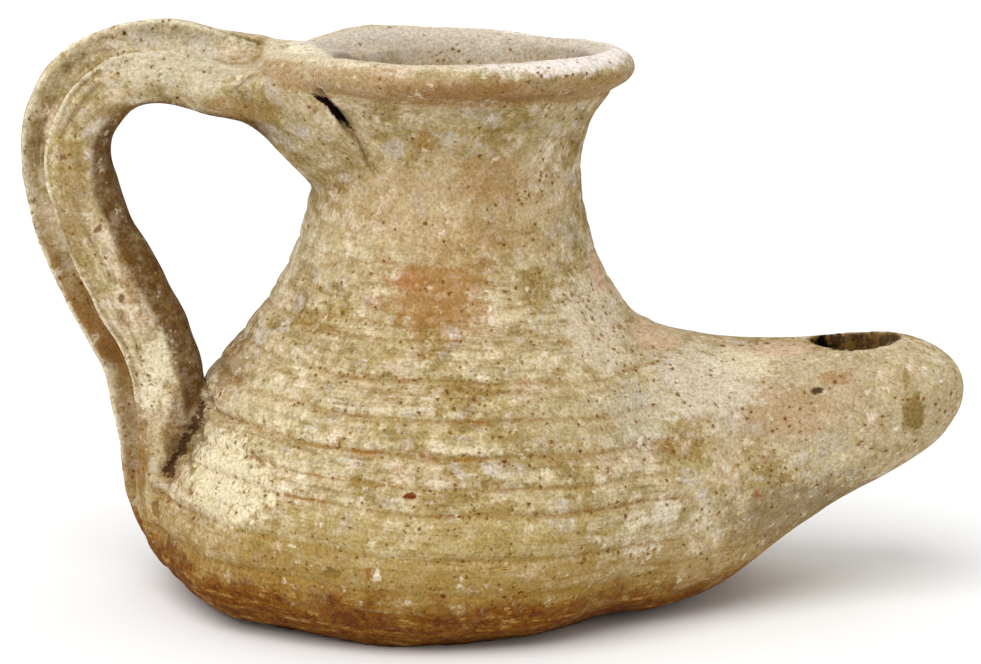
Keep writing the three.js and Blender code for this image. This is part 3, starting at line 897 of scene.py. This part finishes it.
def firedClay():
    material = bpy.data.materials.new("firedClay")
    material.use_nodes = True
    tree = material.node_tree
    tree.nodes.clear()
    c = {name: linear(value) for name, value in clay.items() if isinstance(value, tuple)}
    colour = None

    def share(name):
        return put(tree, "Attribute", {}, attribute_name=name).outputs["Fac"]

    def chain(operation, first, rest):
        for value in rest:
            first = math2(tree, operation, first, value)
        return first

    def times(first, *rest):
        return chain("MULTIPLY", first, rest)

    def plus(first, *rest):
        return chain("ADD", first, rest)

    def less(a, b):
        return math2(tree, "SUBTRACT", a, b)

    def vector(operation, *inputs):
        return put(tree, "VectorMath", dict(enumerate(inputs)), operation=operation)

    def fade(*settings):
        return span(tree, *settings)

    def noise(spot, name):
        return noiseAt(tree, spot, *grain[name])

    # lays a colour over what is there
    def paint(tint, share, mode="MIX"):
        nonlocal colour
        colour = mixColour(tree, colour, tint, share, mode)

    # multiplies by a tone: darker where the value is low, paler where it is high
    def tone(value, low, high, share):
        stops = [(0.34, low + (1,)), (0.5, (1, 1, 1, 1)), (0.66, high + (1,))]
        paint(rampAt(tree, value, stops), share, "MULTIPLY")

    here = put(tree, "TexCoord", {}).outputs["Object"]
    place = put(tree, "Mapping", {"Vector": here, "Scale": (1000, 1000, 1000)}).outputs[0]
    level, thrown, inner, strapShare, under, along, across = [share(name) for name in fieldNames]
    x, y, z = put(tree, "SeparateXYZ", {0: place}).outputs
    dust = put(tree, "TexNoise", {"Vector": place, "Scale": 2.4, "Detail": 2.0, "Roughness": 0.7})
    jitter = vector("SUBTRACT", dust.outputs["Color"], (0.5, 0.5, 0.5)).outputs[0]
    jitter = vector("MULTIPLY", jitter, (0.9, 0.9, 0.9)).outputs[0]
    ragged = vector("ADD", place, jitter).outputs[0]

    # broad patches
    broad = noise(place, "broad")
    colour = rampAt(tree, broad, [(0.33, c["tan"]), (0.43, c["olive"]), (0.5, c["buff"]), (0.58, c["buff"]),
                                  (0.68, c["cream"])])
    second = noise(place, "second")
    paint(c["pink"], fade(second, 0.52, 0.66, 0, 0.55))
    paint(c["lilac"], fade(second, 0.47, 0.34, 0, 0.75))
    third = noise(ragged, "third")
    tone(third, (0.74, 0.68, 0.54), (1.24, 1.27, 1.38), 1.0)

    # pale crust in patches
    paint(c["crust"], times(fade(second, 0.48, 0.64), fade(third, 0.4, 0.6), 0.55))

    # streaks drawn round by the wheel, and along the strap by the fingers
    ring = put(tree, "CombineXYZ", {0: x, 1: y, 2: level}).outputs[0]
    streak = noise(ring, "streak")
    tone(streak, (0.7, 0.63, 0.48), (1.2, 1.22, 1.26), times(thrown, fade(level, 56, 38, 0.35, 1.0)))
    pull = put(tree, "CombineXYZ", {0: along, 1: across, 2: 0.0}).outputs[0]
    pulled = noise(pull, "pulled")
    tone(pulled, (0.52, 0.46, 0.34), (1.18, 1.2, 1.26), strapShare)

    # the grooves are painted darker, as shade and rust-brown dirt (red in the ramp), and their upper lips are
    # painted pale as a highlight (green);
    # a ramp holds few colours, so the height is shared among four
    wavy = plus(level, times(less(third, 0.5), 1.2))
    none = (0, 0, 0, 1)
    marks = None
    for low, high in ((0, 21), (21, 38), (38, 54), (54, 76)):
        stops = []
        for groove, depth, width in reversed([row for row in wheel["grooves"] if low < row[0] < high]):
            above = stops[0][0] - 0.05 if stops else high
            dirt = min(1, 3 * depth)
            stops = [(groove - 1.0, none), (groove - 0.6 * width, (0.3 * dirt, 0, 0, 1)),
                     (groove, (dirt, 0, 0, 1)), (groove + 0.5 * width, (0.2 * dirt, 0, 0, 1)),
                     (groove + 1.5 * width, (0, min(1, 2.4 * depth), 0, 1)),
                     (min(groove + 1.5 * width + 1.3, above), none)] + stops
        heightShare = math2(tree, "DIVIDE", less(wavy, low), high - low)
        ramp = rampAt(tree, heightShare, [((at - low) / (high - low), tint) for at, tint in stops])
        marks = ramp if marks is None else mixColour(tree, marks, ramp, 1.0, "ADD")
    dirty, grooveHighlight = put(tree, "SeparateColor", {0: marks}).outputs[:2]
    broken = fade(noise(ring, "dirtGaps"), 0.48, 0.57)
    grooveShadeAndDirt = math2(tree, "MULTIPLY", dirty, thrown, clamp=True)
    dirty = times(grooveShadeAndDirt, broken)
    grooveHighlight = times(grooveHighlight, thrown, fade(third, 0.42, 0.6))
    # painted highlight along the grooves' upper lips
    paint(c["cream"], times(grooveHighlight, 0.8))
    # painted shade with dirt in the grooves; real rust dirt in them below
    paint(c["tan"], times(grooveShadeAndDirt, 0.7))
    paint(c["rust"], times(dirty, 0.9))

    # the strap: brown in its groove, painted shade with dirt underneath, and its rib crests painted pale as a
    # highlight with rubbed wear
    fromMiddle = math2(tree, "ABSOLUTE", across)
    fromCrest = math2(tree, "ABSOLUTE", less(fromMiddle, strap["crest"]))
    crest = times(fade(fromCrest, 0.6, 0.15), strapShare, fade(third, 0.36, 0.5))
    # painted shade, with dirt, on the strap's underside
    paint(c["strapUndersideShadeAndDirt"], times(under, fade(third, 0.64, 0.4, 0.7, 0.96)))
    farRib = times(fade(across, -3.6, -2.4), fade(across, 5.2, 3.8), strapShare, fade(z, 58, 38))
    paint(c["farRib"], times(farRib, fade(pulled, 0.6, 0.44, 0.3, 0.85)))
    trough = times(fade(fromMiddle, 2.6, 1.2), strapShare, fade(second, 0.4, 0.6, 0.2, 0.75))
    paint(c["trough"], times(trough, less(1.0, under)))
    # painted highlight, with rubbed wear, along the rib crests
    paint(c["lime"], times(crest, less(1.0, under), 0.6))

    # the lip's outer band is browner; its top is painted paler as a highlight, with a painted highlight line
    # along its inner edge
    lipBand = times(fade(level, 70.2, 71.2), fade(level, 75.0, 73.8), thrown)
    paint(c["lipBand"], times(lipBand, fade(third, 0.38, 0.6, 0.35, 0.85)))
    flat = put(tree, "CombineXYZ", {0: x, 1: y}).outputs[0]
    radius = vector("LENGTH", flat).outputs["Value"]
    # painted highlight: the lip's top face made paler, brighter to the right
    lipTop = times(fade(z, 74.0, 74.9), fade(radius, 25.4, 24.4))
    lipTopHighlight = mixColour(tree, c["lipHighlightLeft"], c["lipHighlightRight"], fade(x, 0, 10))
    paint(lipTopHighlight, times(lipTop, fade(third, 0.36, 0.5, 0.45, 0.9)))
    # painted highlight: a bright line along the lip's inner edge, in the lime colour
    paint(c["lime"], times(lipTop, fade(radius, 22.6, 21.4), fade(third, 0.34, 0.46), 0.95))

    # inside: duller, olive lower down, darker below with oil, soot and painted shade, black deep in the
    # channel as painted shade with soot, and brown round the wick hole
    mottled = plus(z, times(plus(second, third), 7.0))
    innerTone = mixColour(tree, c["lilac"], c["insideOlive"], fade(mottled, 82.0, 76.0))
    # painted shade with soot: darker lower down inside
    innerTone = mixColour(tree, innerTone, c["sootAndShade"], fade(z, 62, 34))
    wickTone = mixColour(tree, c["wickPale"], c["wickDark"], fade(third, 0.44, 0.56))
    innerTone = mixColour(tree, innerTone, wickTone, fade(x, 46, 48))
    # painted shade with soot: black deep in the channel
    innerTone = mixColour(tree, innerTone, c["black"], fade(z, 33.5, 29))
    paint(innerTone, times(inner, fade(x, 44, 48, 0.85, 0.97)))

    # stains, cracks, painted shade and painted highlights: soft-edged ovals, with their edges pushed about by
    # a noise
    shift = put(tree, "TexNoise", {"Vector": place, "Scale": 0.55, "Detail": 3.0, "Roughness": 0.78})
    shift = vector("SUBTRACT", shift.outputs["Color"], (0.5, 0.5, 0.5)).outputs[0]

    def blot(middle, radii, tint, strength, raggedness=2.2, lean=0.0, inside=0.6, outside=1.1):
        inputs = {"Vector": place, "Location": middle, "Rotation": (0, lean, 0), "Scale": radii}
        near = put(tree, "Mapping", inputs, vector_type="TEXTURE").outputs[0]
        near = vector("MULTIPLY_ADD", shift, (raggedness,) * 3, near).outputs[0]
        far = vector("LENGTH", near).outputs["Value"]
        paint(linear(tint), fade(far, outside, inside, 0.0, strength))

    for middle, radii, tint, strength in stains.values():
        blot(middle, radii, tint, strength)

    # the foot is painted brown all round, more towards the handle: scorching, with painted shade low down by
    # the floor
    footEdge = plus(z, times(second, 14.0), times(x, 0.05), times(streak, 7.0))
    footTone = plus(times(third, 0.5), times(streak, 0.5))
    footColour = mixColour(tree, c["scorchAndShade"], c["rustDark"], fade(footTone, 0.49, 0.54))
    footColour = mixColour(tree, footColour, c["footPale"], fade(footTone, 0.46, 0.4, 0.0, 0.8))
    # scorching with painted shade on the lower body
    paint(c["scorchAndShadeEdge"], fade(footEdge, 28.0, 17.5, 0.0, 0.75))
    paint(footColour, fade(footEdge, 20.0, 15.5, 0.0, 0.95))

    # fine grain, dust of lime, rust specks and pinholes
    tone(dust.outputs["Fac"], (0.76, 0.74, 0.68), (1.24, 1.24, 1.24), 1.0)
    limeShare = fade(noise(ragged, "lime"), 0.6, 0.7, 0.0, 0.6)
    paint(c["lime"], times(limeShare, less(1.0, inner), fade(footEdge, 14.0, 20.0)))
    dense = plus(fade(streak, 0.5, 0.38, 0.0, 0.4), fade(broad, 0.54, 0.4, 0.03, 0.3))
    clusters = fade(noise(place, "speckClusters"), 0.54, 0.66, 0.0, 0.5)
    dense = plus(times(dense, fade(z, 60, 10, 0.45, 1.1)), times(grooveShadeAndDirt, 0.8),
                 fade(footEdge, 21.0, 15.0, 0.0, 0.5), clusters)
    rustSpeck, rustHalo = specksAt(tree, ragged, 2.0, 0.5, times(dense, 0.45), 1)
    smallSpeck, smallHalo = specksAt(tree, ragged, 0.8, 0.3, plus(times(dense, 1.3), 0.1), 2)
    paint(c["halo"], times(math2(tree, "MAXIMUM", rustHalo, smallHalo), 0.4))
    paint(c["rustDark"], times(rustSpeck, 0.9))
    paint(c["pinhole"], times(smallSpeck, 0.85))

    for points, yPlace, halfWidth, tint, strength, raggedness in cracks.values():
        for (x0, z0), (x1, z1) in zip(points, points[1:]):
            middle = ((x0 + x1) / 2, yPlace, (z0 + z1) / 2)
            radii = (math.hypot(x1 - x0, z1 - z0) * 0.72, 6, halfWidth)
            lean = -math.atan2(z1 - z0, x1 - x0)
            blot(middle, radii, tint, strength, raggedness, lean, 0.75, 1.05)

    # relief too fine for the mesh
    height = plus(times(dust.outputs["Fac"], 0.3), times(third, 1.1))
    bump = put(tree, "Bump", {"Height": height, "Distance": clay["grainDepth"]})

    skin = put(tree, "BsdfPrincipled", {"Base Color": colour, "Normal": bump.outputs[0]})
    skin.inputs["Roughness"].default_value = clay["roughness"]
    skin.inputs["Specular IOR Level"].default_value = clay["shine"]
    put(tree, "OutputMaterial", {"Surface": skin.outputs[0]})
    return material


lamp.data.materials.clear()
lamp.data.materials.append(firedClay())
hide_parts("oil_lamp")
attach(lamp, "root")
print("clay finished")


# Floor, light and camera

studio = {
    "floorSize": 6.0,
    "floorColour": (0.9, 0.9, 0.9, 1),
    "floorRoughness": 0.9,
    "floorGap": 0.00002,     # the floor lies this far under the lamp
    "worldLight": 0.76,
    # where the light comes from, its strength, and its spread in degrees
    "key": ((-0.3, -0.55, 0.9), 1.85, 50),
    "cameraAt": (0.00615, -0.4802, 0.1338),
    "cameraDown": 11.5,      # degrees below the horizon
    "lens": 130.1,
    "sensorWidth": 36,
    "clipStart": 0.01,
}

clearSelection()
bpy.ops.mesh.primitive_plane_add(size=studio["floorSize"], location=(0, 0, -studio["floorGap"]))
floor = bpy.context.object
floor.name = "floor"
floorPaint = bpy.data.materials.new("floorPaint")
floorPaint.use_nodes = True
floorInputs = floorPaint.node_tree.nodes["Principled BSDF"].inputs
floorInputs["Base Color"].default_value = studio["floorColour"]
floorInputs["Roughness"].default_value = studio["floorRoughness"]
floor.data.materials.append(floorPaint)

comesFrom, strength, spread = studio["key"]
clearSelection()
bpy.ops.object.light_add(type="SUN", location=(0, 0, 0.5))
light = bpy.context.object
light.name = "keyLight"
light.data.energy = strength
light.data.angle = math.radians(spread)
light.rotation_euler = (-Vector(comesFrom)).to_track_quat("-Z", "Y").to_euler()

scene = bpy.context.scene
scene.world = bpy.data.worlds.new("studioWorld")
scene.world.use_nodes = True
worldInputs = scene.world.node_tree.nodes["Background"].inputs
worldInputs["Color"].default_value = (1, 1, 1, 1)
worldInputs["Strength"].default_value = studio["worldLight"]
scene.view_settings.view_transform = "Standard"

tilt = math.radians(90 - studio["cameraDown"])
bpy.ops.object.camera_add(location=studio["cameraAt"], rotation=(tilt, 0, 0))
camera = bpy.context.object
camera.data.lens = studio["lens"]
camera.data.sensor_width = studio["sensorWidth"]
camera.data.clip_start = studio["clipStart"]
scene.camera = camera

bpy.context.view_layer.update()
